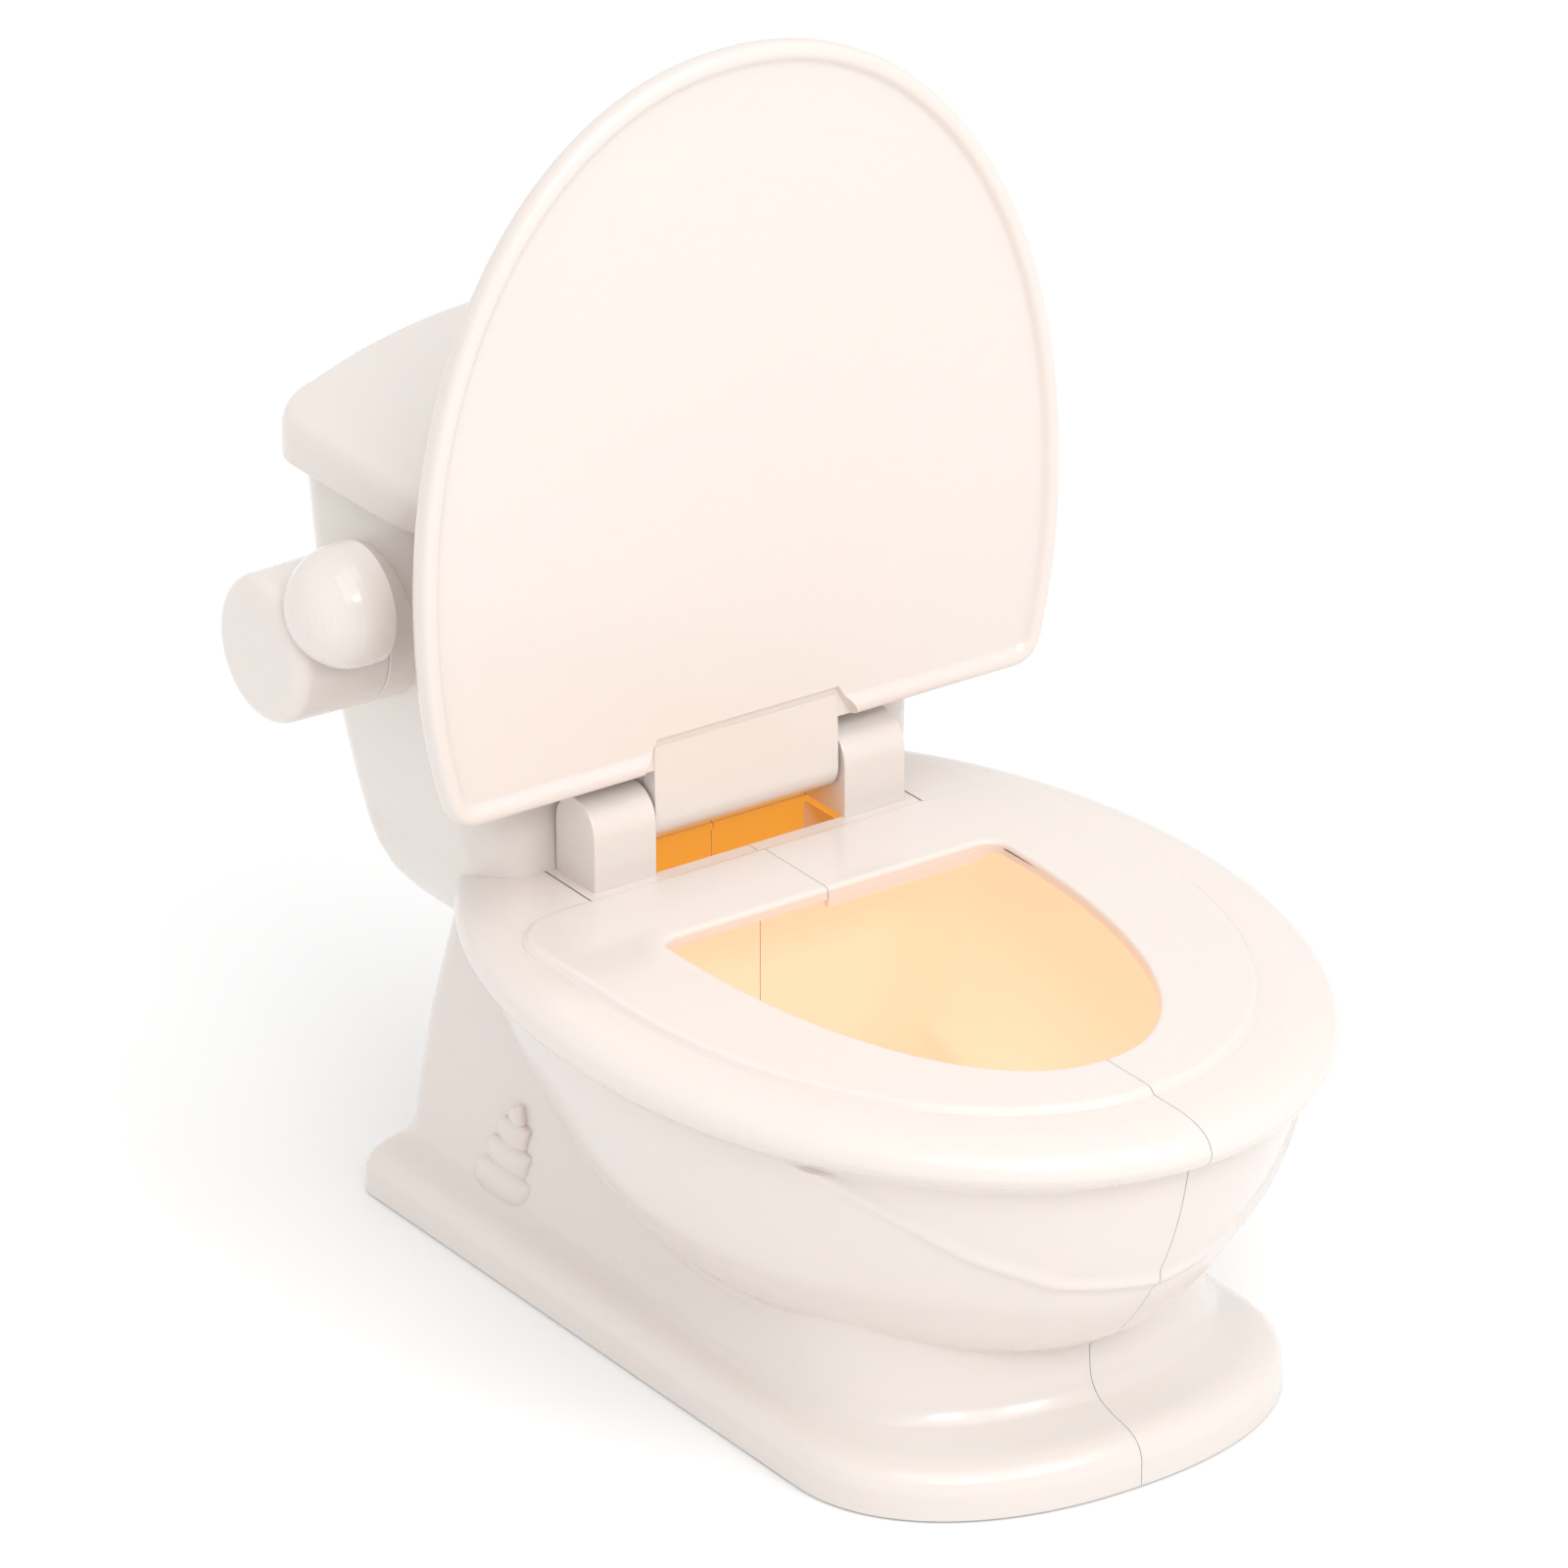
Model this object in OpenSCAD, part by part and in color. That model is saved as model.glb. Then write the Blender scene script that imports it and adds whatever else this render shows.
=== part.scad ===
// Potty training chair: a toddler seat shaped like a small flush toilet.
// Two clamshell halves meet on the plane X = 0. The front faces -Y and the floor is Z = 0.

/* [Body] */
// Width of the plinth
base_w = 216; // [190:1:260]
// Length of the plinth
base_l = 381; // [340:1:440]
// Height of the seat surface above the floor
seat_h = 172; // [150:1:200]
// Width of the rim round the seat
rim_w = 302; // [270:1:340]
// Length of the full rim oval, part of which lies inside the tank
rim_l = 409; // [370:1:460]
// Wall thickness of the moulded shells
wall = 2.6; // [2:0.1:3.6]
// Gap between the two half shells
seam_gap = 0.3; // [0.2:0.05:0.6]

/* [Seat opening] */
// Width of the seat opening
opening_w = 160; // [140:1:175]
// Length of the seat opening
opening_l = 180; // [150:1:200]

/* [Tank] */
// Height of the tank above the seat deck
tank_h = 141; // [110:1:170]
// Width of the tank at its top
tank_w = 229; // [200:1:260]
// Depth of the tank cover at its corners
cover_d = 112; // [100:1:125]
// Height of the skirt of the tank cover
cover_skirt = 20; // [14:1:26]
// Rise of the arched top of the tank cover
cover_crown = 14; // [6:1:20]

/* [Lid] */
// Distance from the hinge axis to the tip of the lid
lid_reach = 310; // [285:1:330]
// Depth of the border of the lid
lid_t = 12; // [9:0.5:15]
// Backward lean of the open lid
lid_lean = 1.5; // [0:0.5:3]

/* [Hinge] */
// Height of the hinge axis above the deck
hinge_up = 22; // [20:0.5:26]
// Radius of the round top of the hinge posts
post_r = 13.6; // [12:0.1:15]
// Width of one hinge post
post_w = 29; // [20:1:34]
// Width of the slot between the posts
slot_w = 90; // [70:1:100]
// Diameter of the hinge pin
pin_d = 6; // [4:0.5:8]

/* [Flush lever] */
// Diameter of the round lever hub
hub_d = 62; // [48:1:66]
// Length of the lever hub
hub_l = 41; // [32:1:46]
// Diameter of the lever grip
grip_d = 49; // [40:1:52]
// Diameter of the lever shaft
shaft_d = 10; // [8:0.5:13]

/* [Pot] */
// Outer diameter of the lift-out pot
pot_d = 140; // [120:1:146]
// Height of the lift-out pot
pot_h = 64; // [50:1:74]

/* [Fasteners] */
// Shank diameter of the screws
screw_d = 3; // [2.5:0.5:4]
// Diameter of the dowels along the seam
dowel_d = 4; // [3:0.5:5]
// Diameter of the rubber feet
foot_d = 20; // [16:1:24]

/* [Hidden] */
$fn = 64;

ivory = [0.97, 0.93, 0.87];
steel = [0.72, 0.73, 0.75];
grey_rubber = [0.55, 0.54, 0.52];

fit_gap = 0.05;          // radial clearance of a pin in its bore
loose_gap = 0.4;         // clearance of a piece dropped into another
ground_gap = 1;          // the plinth stands this far off the floor, on the feet
seam = seam_gap / 2;
cut = 400;               // longer than any piece a cutter goes through

// Scale of the sections, which are drawn for the nominal sizes
kx = base_w / 216;
ky = base_l / 381;
kz = seat_h / 172;
rx = rim_w / 302;
ry = rim_l / 409;

// ---- seat and bowl ----
rim_y = -26.8 * ky;                       // centre of the rim oval
plateau_step = 2.5;
deck_z = seat_h - plateau_step;
plate_t = 3;
plate_z = deck_z - plate_t;               // underside of the deck plate
opening_rear = rim_y + 43;                // rear edge of the opening
opening_front = opening_rear - opening_l;
opening_corner = 9;
web_y = opening_rear + 46;                // rear wall of the bowl, under the bridge

// ---- hinge ----
post_y0 = web_y + 6;                      // front face of the posts
hinge_y = post_y0 + post_r;
hinge_z = deck_z + hinge_up;
post_x0 = slot_w / 2;
post_x1 = post_x0 + post_w;
slot_y0 = web_y + 8;
pin_end = 4;                              // wall left over the end of the pin

// ---- tank ----
tank_y0 = hinge_y + post_r + 0.6;         // outer face of the tank front at the deck
tank_z1 = deck_z + tank_h;
tank_hw = tank_w / 2;
tank_lean = 23;                           // the front corners slope back by this much
tank_bow = 22;                            // the front and rear bow out by this much at the top
cover_hw = tank_hw + 5.5;
cover_y0 = tank_y0 + tank_lean - 5;
cover_y1 = cover_y0 + cover_d;
cover_z0 = tank_z1 + 1;
tank_rear = cover_y1 - 9;
floor_z = deck_z + 12;                    // top of the tank floor
floor_t = 2.5;

// ---- base ----
plate_clear = 0.4;
base_plate_t = 3;
base_plate_z = ground_gap + 0.4;
boss_r = 5.5;
head_r = screw_d * 0.95;
head_h = 1.8;
screw_len = 14;
base_boss_top = 14.5;
base_screw_at = [for (s = [-1, 1], y = [-0.30, 0.06, 0.42])
    [s * (base_w / 2 - wall - boss_r + 1.2), y * base_l]];
foot_at = concat([[0, 0]], [for (s = [-1, 1], y = [-0.34, 0.44]) [s * (base_w / 2 - 32 * kx), y * base_l]]);

// ---- lever ----
lever_y = tank_y0 + 66;
lever_z = deck_z + 93;
hub_r = hub_d / 2;
grip_r = grip_d / 2;
shaft_r = shaft_d / 2;
collar_x = tank_hw + 12;                  // outer face of the collar
hub_x = collar_x + 0.4;
hub_end = hub_x + hub_l;
boss_x = tank_hw - 13;                    // inner face of the collar boss
bush_t = 2.5;
grip_off = 42;                            // distance of the grip axis from the hub axis
grip_dir = [-0.78, 0.626];                // direction of that offset in Y and Z
grip_x = hub_x + 12.5;                    // flat end of the grip
grip_l = grip_r + 7.5;                    // the grip is a short cylinder with a hemispherical end
crank_x = boss_x - bush_t - 9;            // outer face of the crank
crank_t = 6;
crank_l = 26;
spring_wire = 1.2;
spring_r = shaft_r + 2.6;

// ---- pot ----
pot_r = pot_d / 2;
pot_y = opening_front + opening_l * 0.545;
pot_z = base_plate_z + base_plate_t + 0.3;
pot_rim = 3;

// ================= section curves =================

// Half-width at y of a D-shaped outline with a superelliptic nose and rounded rear corners.
// s = [half-width, front y, rear y, nose length, nose exponent, rear corner radius]
function dee(y, s, d = 0) =
    let (hw = s[0] - d, yf = s[1] + d, yr = s[2] - d, yc = s[1] + s[3], rc = max(s[5] - d, 1))
    y <= yf ? 0 :
    y < yc ? hw * pow(max(0, 1 - pow((yc - y) / (yc - yf), s[4])), 1 / s[4]) :
    y > yr + 0.001 ? 0 :
    y > yr - rc ? hw - rc + sqrt(max(0, rc * rc - pow(y - (yr - rc), 2))) :
    hw + 0.4 * (y - yc) * (yr - rc - y) / pow((yr - rc - yc) / 2, 2);

// Half-width at y of an egg: s = [half-width, centre y, front semi-length, rear semi-length]
function egg(y, s, d = 0) =
    let (b = (y < s[1] ? s[2] : s[3]) - d, t = (y - s[1]) / b)
    abs(t) >= 1 ? 0 : (s[0] - d) * sqrt(1 - t * t);

// The larger of two lengths, with a soft change from one to the other
function blend(a, b, soft = 6) = max(a, b)
    + (min(a, b) <= 0 ? 0 : pow(max(0, soft - abs(a - b)), 2) / (4 * soft));

// Half outline from the front of the seam to its rear: the wider of a dee and an egg at each y
function half_outline(ds, es, d, n) =
    let (yf = min(ds[1], es[1] - es[2]) + d, yr = max(ds[2], es[1] + es[3]) - d)
    concat([[seam, yf]],
        [for (i = [1 : n]) let (y = yf + (yr - yf) * (1 - cos(180 * i / n)) / 2)
            [max(seam + 0.05, blend(dee(y, ds, d), egg(y, es, d))), y]],
        [[seam, yr]]);

// Sections of the body from the floor up:
// [height, pedestal half-width, front y, rear y, nose length, rear corner radius,
//  bowl half-width, bowl front semi-length, bowl rear semi-length]
BODY = [
    [0,     108,   -191,   190.5, 77,  10, 20, 20, 20],
    [11,    108,   -191,   190.5, 77,  10, 20, 20, 20],
    [15.5,  106.8, -189.8, 189.5, 76,  10, 20, 20, 20],
    [19,    104,   -187,   188,   75,  11, 20, 20, 20],
    [21.5,  99.5,  -182,   186.5, 74,  12, 20, 20, 20],
    [23.5,  95.5,  -172,   185,   72,  13, 20, 20, 20],
    [27,    92.5,  -163,   184,   70,  14, 30, 40, 30],
    [34,    90.5,  -158,   183,   68,  15, 60, 90, 40],
    [42,    89.5,  -157,   183,   68,  15, 78, 124, 52],
    [50,    88.5,  -157,   182.6, 68,  15, 89, 133, 78],
    [58,    87.5,  -157,   182,   68,  15, 98, 145, 96],
    [66,    86.5,  -157,   181,   68,  15, 105, 153, 118],
    [76,    85.5,  -157,   180,   68,  15, 112, 161, 143],
    [88,    84,    -157,   178,   68,  15, 120, 169, 149],
    [100,   82.5,  -157,   175.5, 68,  15, 126, 175, 155],
    [116,   80.5,  -157,   172,   68,  15, 132, 182, 172],
    [132,   79,    -157,   168,   68,  15, 137, 187, 186],
    [146,   78,    -157,   165,   68,  15, 140, 190, 188]];

// Sections of the rim, as an inset from its widest line: [height below the seat, inset]
RIM = [[22, 11], [20, 6], [17, 2], [13, 0], [9, 1.4], [6, 4.6], [4.2, 9], [2.5, 20]];

function body_dee(r) = [r[1] * kx, r[2] * ky, r[3] * ky, r[4] * ky, 2.2, r[5]];
function body_egg(r) = [r[6] * rx, rim_y, r[7] * ry, r[8] * ry];
function rim_egg(inset) = [rim_w / 2 - inset, rim_y, rim_l / 2 - inset, rim_l / 2 - inset];
function front_y(z) = let (e = body_egg(row_at(z)), d = body_dee(row_at(z))) min(d[1], e[1] - e[2]);
function rear_y(z) = body_dee(row_at(z))[2];
function row_at(z) = BODY[max([for (i = [0 : len(BODY) - 1]) if (BODY[i][0] <= z) i])];

N_OUT = 26;
top_dee = [78 * kx, -100 * ky, 182 * ky, 60 * ky, 2.2, 15];
opening_dee = [opening_w / 2, opening_front, opening_rear, opening_l - opening_corner, 2.15, opening_corner];
no_egg = [1, opening_front + 60, 1, 1];
plateau_y1 = web_y - 1;
plateau_egg = [123 * rx, rim_y, 167 * ry, 1];
function plateau_dee(inset) = [123 * rx - inset, rim_y - 167 * ry + inset, plateau_y1 - inset,
    167 * ry + 8, 2.05, 26];

function ring(outer, inner, z) = [for (p = concat(outer, [for (i = [len(inner) - 1 : -1 : 0]) inner[i]]))
    [p[0], p[1], z]];
function body_ring(r) = ring(half_outline(body_dee(r), body_egg(r), 0, N_OUT),
    half_outline(body_dee(r), body_egg(r), wall, N_OUT), max(ground_gap, r[0] * kz));
function rim_ring(r, inner) = ring(half_outline(top_dee, rim_egg(r[1]), 0, N_OUT), inner, seat_h - r[0]);
rim_inner = half_outline(top_dee, rim_egg(14 - wall), wall, N_OUT);
hole_edge = half_outline(opening_dee, no_egg, 0, N_OUT);
body_loops = concat(
    [for (r = BODY) body_ring(r)],
    [for (r = RIM) if (seat_h - r[0] < plate_z) rim_ring(r, rim_inner)],
    [rim_ring([seat_h - plate_z + 0.3, 4.8], rim_inner), rim_ring([seat_h - plate_z, 5], hole_edge)],
    [for (r = RIM) if (seat_h - r[0] > plate_z) rim_ring(r, hole_edge)],
    [ring(half_outline(plateau_dee(-1.5), no_egg, 0, N_OUT), hole_edge, deck_z + 0.1),
     ring(half_outline(plateau_dee(0.5), no_egg, 0, N_OUT), hole_edge, seat_h - 0.6),
     ring(half_outline(plateau_dee(2.5), no_egg, 0, N_OUT), hole_edge, seat_h)]);

// ---- tank outline, from the front of the seam to its rear ----
function bowed_front(hw, yf, bow, rf, n) = [for (i = [0 : n - 1]) let (x = (hw - rf) * i / n)
    [max(seam, x), yf - bow * (1 - pow(x / hw, 2))]];
function corner(cx, cy, r, a0, a1, n) = [for (i = [0 : n]) let (a = a0 + (a1 - a0) * i / n)
    [cx + r * cos(a), cy + r * sin(a)]];
function edge_drop(hw, bow, r) = bow * (1 - pow((hw - r) / hw, 2));
function tank_outline(hw, yf, bf, rf, yr, br, rr) = concat(
    bowed_front(hw, yf, bf, rf, 8),
    corner(hw - rf, yf + rf - edge_drop(hw, bf, rf), rf, -90, 0, 6),
    corner(hw - rr, yr - rr + edge_drop(hw, br, rr), rr, 0, 90, 6),
    [for (i = [7 : -1 : 0]) let (x = (hw - rr) * i / 8) [max(seam, x), yr + br * (1 - pow(x / hw, 2))]]);

// Sections of the tank: [height as a share of tank_h (negative below the deck, in mm),
//  half-width, rear inset, front lean, bow]
function tank_row(t) = let (u = max(0, t), e = 1 - pow(1 - u, 2.4))
    [tank_hw - 12.5 * (1 - e), tank_y0 + tank_lean * u, 0.3 + tank_bow * u, 19 + 17 * u,
     tank_rear - 16 * (1 - u), 6 + 12 * u, 19 + 5 * u];
TANK_FOOT = [[-40.5, 24, 31], [-35, 15, 25], [-29, 8.5, 18], [-22, 4, 11], [-13, 1.6, 5], [-4, 0.4, 1.2]];
TANK_UP = [0, 0.12, 0.26, 0.42, 0.6, 0.8, 1];
function tank_at(t, d) = let (r = tank_row(t))
    tank_outline(r[0] - d, r[1] + d, r[2], r[3] - d, r[4] - d, r[5], r[6] - d);
function foot_at_row(f, d) = let (r = tank_row(0))
    tank_outline(r[0] - f[1] - d, r[1] + d, 0.3, r[3] - d, r[4] - f[2] - d, r[5] * (1 - f[2] / 35), r[6] - d);
// Outline that stays d inside the tank's outer face all the way from share u0 to share u1
function tank_clear(u0, u1, d) = let (a = tank_row(u0), b = tank_row(u1))
    tank_outline(a[0] - d, b[1] + d, b[2], b[3] - d, a[4] - d, a[5], a[6] - d);
function tank_back(u) = let (r = tank_row(u)) r[4] + r[5];
tank_loops = concat(
    [for (f = TANK_FOOT) ring(foot_at_row(f, 0), foot_at_row(f, wall), deck_z + f[0])],
    [for (u = TANK_UP) ring(tank_at(u, 0), tank_at(u, wall), deck_z + u * tank_h)]);

// ---- fasteners across the seam: [y, z] ----
seam_boss_l = 13;
seam_screw_at = [
    [front_y(16) + wall + boss_r - 1.2, ground_gap + base_plate_t + boss_r + 2.5],
    [front_y(42) + wall + boss_r - 1.2, 42 * kz],
    [rear_y(60) - wall - boss_r + 1.2, 60 * kz],
    [tank_back(0.35) - wall - boss_r + 1.2, deck_z + 0.35 * tank_h]];
seam_dowel_at = [
    [rear_y(25) - wall - boss_r + 1.2, 25 * kz],
    [tank_back(0.8) - wall - boss_r + 1.2, deck_z + 0.8 * tank_h]];

floor_screw_at = [for (s = [-1, 1], y = [28, 72]) [s * (tank_hw - 12.5 - wall - 3.6), tank_y0 + y]];

// ================= building blocks =================

// Solid through equal closed loops, capped at both ends. A ribbon is a loop that runs out along one
// side of a wall and back along the other, and its caps join the two sides.
module loft(loops, ribbon = false) {
    n = len(loops[0]);
    m = len(loops);
    e = (m - 1) * n;
    polyhedron(
        points = [for (l = loops) each l],
        faces = concat(ribbon ? cap_strip(n, 0, false) : [[for (i = [0 : n - 1]) i]],
            [for (k = [0 : m - 2], i = [0 : n - 1]) [k * n + i, (k + 1) * n + i, k * n + (i + 1) % n]],
            [for (k = [0 : m - 2], i = [0 : n - 1])
                [(k + 1) * n + i, (k + 1) * n + (i + 1) % n, k * n + (i + 1) % n]],
            ribbon ? cap_strip(n, e, true) : [[for (i = [n - 1 : -1 : 0]) e + i]]),
        convexity = 10);
}

function cap_strip(n, e, top) = [for (i = [0 : n / 2 - 2],
    t = [[i, i + 1, n - 1 - i], [i + 1, n - 2 - i, n - 1 - i]])
    top ? [e + t[0], e + t[2], e + t[1]] : [e + t[0], e + t[1], e + t[2]]];

// Cylinder along X between two x values
module rod(r, x0, x1, y = 0, z = 0) {
    translate([x0, y, z]) rotate([0, 90, 0]) cylinder(r = r, h = x1 - x0);
}

// Cylinder along Z
module post(r, p, z0, z1) {
    translate([p[0], p[1], z0]) cylinder(r = r, h = z1 - z0);
}

// Profile drawn in Y and Z, extruded along X
module along_x(x0, x1) {
    translate([x0, 0, 0]) rotate([90, 0, 90]) linear_extrude(x1 - x0) children();
}

// Everything both halves share, drawn for the right half
module half_shell() {
    difference() {
        union() {
            loft(body_loops, true);
            loft(tank_loops, true);
            bowl_web();
            hinge_post();
            for (p = base_screw_at) if (p[0] > 0) post(boss_r, p, base_plate_z + base_plate_t + 0.1, base_boss_top);
            floor_bosses();
        }
        translate([-1, slot_y0, plate_z - 6]) cube([1 + slot_w / 2, tank_y0 - 1.5 - slot_y0, 20]);
        rod(pin_d / 2 + fit_gap, 0, post_x1 - pin_end, hinge_y, hinge_z);
        for (p = base_screw_at) if (p[0] > 0) post(screw_d / 2 + fit_gap, p, 0, base_boss_top - 1);
        for (p = floor_screw_at) if (p[0] > 0) post(screw_d / 2 + fit_gap, p, floor_z - screw_len + 1, floor_z);
    }
}

module bowl_web() {
    z0 = 30 * kz;
    translate([0, web_y + wall, 0]) rotate([90, 0, 0]) linear_extrude(wall)
        polygon(concat([[seam, z0], [88 * kx - wall / 2, z0]],
            [for (r = BODY) if (r[0] > 31 && r[0] < 140)
                [max(dee(web_y, body_dee(r)), egg(web_y + wall, body_egg(r))) - wall / 2, r[0] * kz]],
            [[egg(web_y + wall, body_egg(BODY[len(BODY) - 1])) - wall, plate_z + 1], [seam, plate_z + 1]]));
}

module hinge_post() {
    along_x(post_x0, post_x1) {
        translate([hinge_y, hinge_z]) circle(r = post_r);
        translate([post_y0, plate_z + 0.5]) square([2 * post_r, hinge_z - plate_z - 0.5]);
        translate([hinge_y, plate_z + 0.5]) square([post_r + 2, hinge_z - plate_z - 0.5]);
    }
}

// Bosses that hold the two halves together; the screw heads sit on the right half
module seam_bosses() {
    for (p = concat(seam_screw_at, seam_dowel_at)) rod(boss_r, seam, seam_boss_l, p[0], p[1]);
}

module dowel_holes() {
    for (p = seam_dowel_at) rod(dowel_d / 2 + fit_gap, -1, seam_boss_l - 4, p[0], p[1]);
}

// ================= sub-parts =================

module right_shell() {
    color(ivory) difference() {
        union() {
            half_shell();
            seam_bosses();
            translate([seam, opening_rear - 0.6, plate_z - 2.6])
                cube([opening_w / 2 - opening_corner - seam, 2.4, 4]);
        }
        dowel_holes();
        for (p = seam_screw_at) rod(screw_d / 2 + fit_gap, -1, seam_boss_l + 1, p[0], p[1]);
    }
}

module left_shell() {
    color(ivory) difference() {
        union() {
            mirror([1, 0, 0]) half_shell();
            mirror([1, 0, 0]) seam_bosses();
            rod(hub_r + 0.3, -collar_x, -tank_hw + 4, lever_y, lever_z);
            rod(shaft_r + 9, -collar_x, -boss_x, lever_y, lever_z);
        }
        mirror([1, 0, 0]) dowel_holes();
        for (p = seam_screw_at) rod(screw_d / 2 + 0.02, -seam_boss_l + 2, 1, p[0], p[1]);
        rod(shaft_r + bush_t + fit_gap, -collar_x - 1, -boss_x + 1, lever_y, lever_z);
    }
}

module tank_floor() {
    u0 = (floor_z - floor_t - deck_z) / tank_h - 0.015;
    inner = [for (p = tank_clear(u0, u0 + 0.04, wall + loose_gap)) [max(p[0], 0), p[1]]];
    color(ivory) difference() {
        translate([0, 0, floor_z - floor_t]) linear_extrude(floor_t)
            polygon(concat(inner, [for (i = [len(inner) - 1 : -1 : 0]) [-inner[i][0], inner[i][1]]]));
        for (p = floor_screw_at) post(screw_d / 2 + 0.3, p, 0, cut);
    }
}

module floor_bosses() {
    for (p = floor_screw_at) if (p[0] > 0) {
        post(5, p, floor_z - floor_t - 16, floor_z - floor_t);
        translate([p[0], p[1] - 2, floor_z - floor_t - 16]) cube([5.4, 4, 16]);
    }
}

module base_plate() {
    edge = half_outline(body_dee(BODY[0]), body_egg(BODY[0]), wall + plate_clear, N_OUT);
    color(ivory) difference() {
        union() {
            translate([0, 0, base_plate_z]) linear_extrude(base_plate_t)
                polygon(whole(edge));
            translate([0, pot_y, base_plate_z]) difference() {
                cylinder(r = pot_r - 12.8, h = base_plate_t + 5);
                translate([0, 0, -1]) cylinder(r = pot_r - 15.3, h = base_plate_t + 8);
            }
        }
        for (p = base_screw_at) {
            post(screw_d / 2 + 0.3, p, 0, cut);
            post(head_r + 0.4, p, 0, base_plate_z + head_h * 0.6);
        }
        for (p = foot_at) post(foot_d / 2 - 3 + fit_gap, p, 0, base_plate_z + 1.5);
    }
}

module rubber_feet() {
    color(grey_rubber) for (p = foot_at) {
        post(foot_d / 2, p, 0, base_plate_z - 0.02);
        post(foot_d / 2 - 3, p, 0.5, base_plate_z + 1.48);
    }
}

module screw_z(p, z_head, dir) {
    post(head_r, p, dir > 0 ? z_head - head_h : z_head, dir > 0 ? z_head : z_head + head_h);
    post(screw_d / 2, p, dir > 0 ? z_head - 0.5 : z_head - screw_len + 3,
        dir > 0 ? base_boss_top - 2 : z_head + 0.5);
}

module base_screws() {
    color(steel) for (p = base_screw_at) screw_z(p, base_plate_z + head_h * 0.6, 1);
}

module floor_screws() {
    color(steel) for (p = floor_screw_at) screw_z(p, floor_z, -1);
}

module shell_screws() {
    color(steel) for (p = seam_screw_at) {
        rod(screw_d / 2, -seam_boss_l + 3, seam_boss_l + 0.5, p[0], p[1]);
        rod(head_r, seam_boss_l, seam_boss_l + head_h, p[0], p[1]);
    }
}

module shell_dowels() {
    color(ivory) for (p = seam_dowel_at) rod(dowel_d / 2, -seam_boss_l + 4.5, seam_boss_l - 4.5, p[0], p[1]);
}

// ---- lid, drawn closed with the hinge axis on X through the origin, then swung open ----
lid_hw = rim_w / 2 - 0.3;
lid_centre = hinge_y - rim_y;
lid_edge = 21;                            // distance of the straight edge from the axis
lid_face = -15.4;                         // plane of the border that faces the seat
lid_back = lid_face + lid_t;
panel_d = lid_t - 2.6;                    // depth of the lid panel's face below the lid's back
panel_t = 2.3;
// Section of the lid's border, from the hollow behind the panel, over the border, to the back:
// [inset from the outline, depth below the back]
LID_RIM = [[8.4, 2.8], [8.4, panel_d - panel_t], [6.6, panel_d - panel_t], [6.6, panel_d], [5.2, lid_t],
    [3, lid_t], [0.9, lid_t - 0.9], [0, lid_t - 3], [0, 5.5], [0.8, 2.8], [3, 0.8], [9, 0]];

function lid_half(i, n, d) = let (y0 = lid_edge + d, y1 = lid_reach - d, b = lid_reach - lid_centre - d,
        y = y1 - (y1 - y0) * (1 - cos(90 * i / n)))
    [(lid_hw - d) * pow(max(0, 1 - pow(abs(y - lid_centre) / b, 2.1)), 1 / 2.1) * lid_round(y - y0), -y];
function lid_round(h) = h > 7 ? 1 : 1 - 0.035 * pow(1 - h / 7, 2);
function lid_loop(d, z) = let (n = 22, half = [for (i = [0 : n]) lid_half(i, n, d)])
    [for (p = concat(half, [for (i = [n : -1 : 1]) [-half[i][0], half[i][1]]])) [p[0], p[1], z]];

module lid_pose() {
    translate([0, hinge_y, hinge_z]) rotate([-90 - lid_lean, 0, 0]) children();
}

tongue_hw = slot_w / 2 - 1.4;
barrel_r = 11.3;
notch_hw = tongue_hw + 4;
notch_l = 15;

// The recess in the border that leaves room for the tongue and the posts
module lid_notch(grow) {
    translate([-notch_hw - grow, -lid_edge - notch_l - grow, lid_face - 1])
        cube([2 * (notch_hw + grow), notch_l + 1 + grow, 1 - lid_face - barrel_r + 0.05]);
}

module seat_lid() {
    block_hw = notch_hw + 2;
    color(ivory) lid_pose() difference() {
        union() {
            loft([for (r = LID_RIM) lid_loop(r[0], lid_back - r[1])]);
            translate([-block_hw, -lid_edge - notch_l - 3, lid_back - panel_d])
                cube([2 * block_hw, notch_l, panel_d - 1]);
            along_x(-tongue_hw, tongue_hw) {
                circle(r = barrel_r);
                polygon([[0, -barrel_r], [-lid_edge - 10, -barrel_r], [-lid_edge - 10, lid_back - 0.6],
                    [-lid_edge - 1, lid_back - 0.6], [-5, 10.1], [0, 10.1]]);
            }
        }
        lid_notch(0);
        rod(pin_d / 2 + fit_gap, -cut / 2, cut / 2);
    }
}

module lid_panel() {
    color(ivory) lid_pose() difference() {
        translate([0, 0, lid_back - panel_d]) linear_extrude(panel_t)
            polygon([for (p = lid_loop(6.75, 0)) [p[0], p[1]]]);
        translate([-notch_hw - 2.2, -lid_edge - notch_l - 3.2, lid_face]) cube([2 * notch_hw + 4.4, cut, 20]);
    }
}

module hinge_pin() {
    color(steel) rod(pin_d / 2, -post_x1 + pin_end + 0.3, post_x1 - pin_end - 0.3, hinge_y, hinge_z);
}

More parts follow.
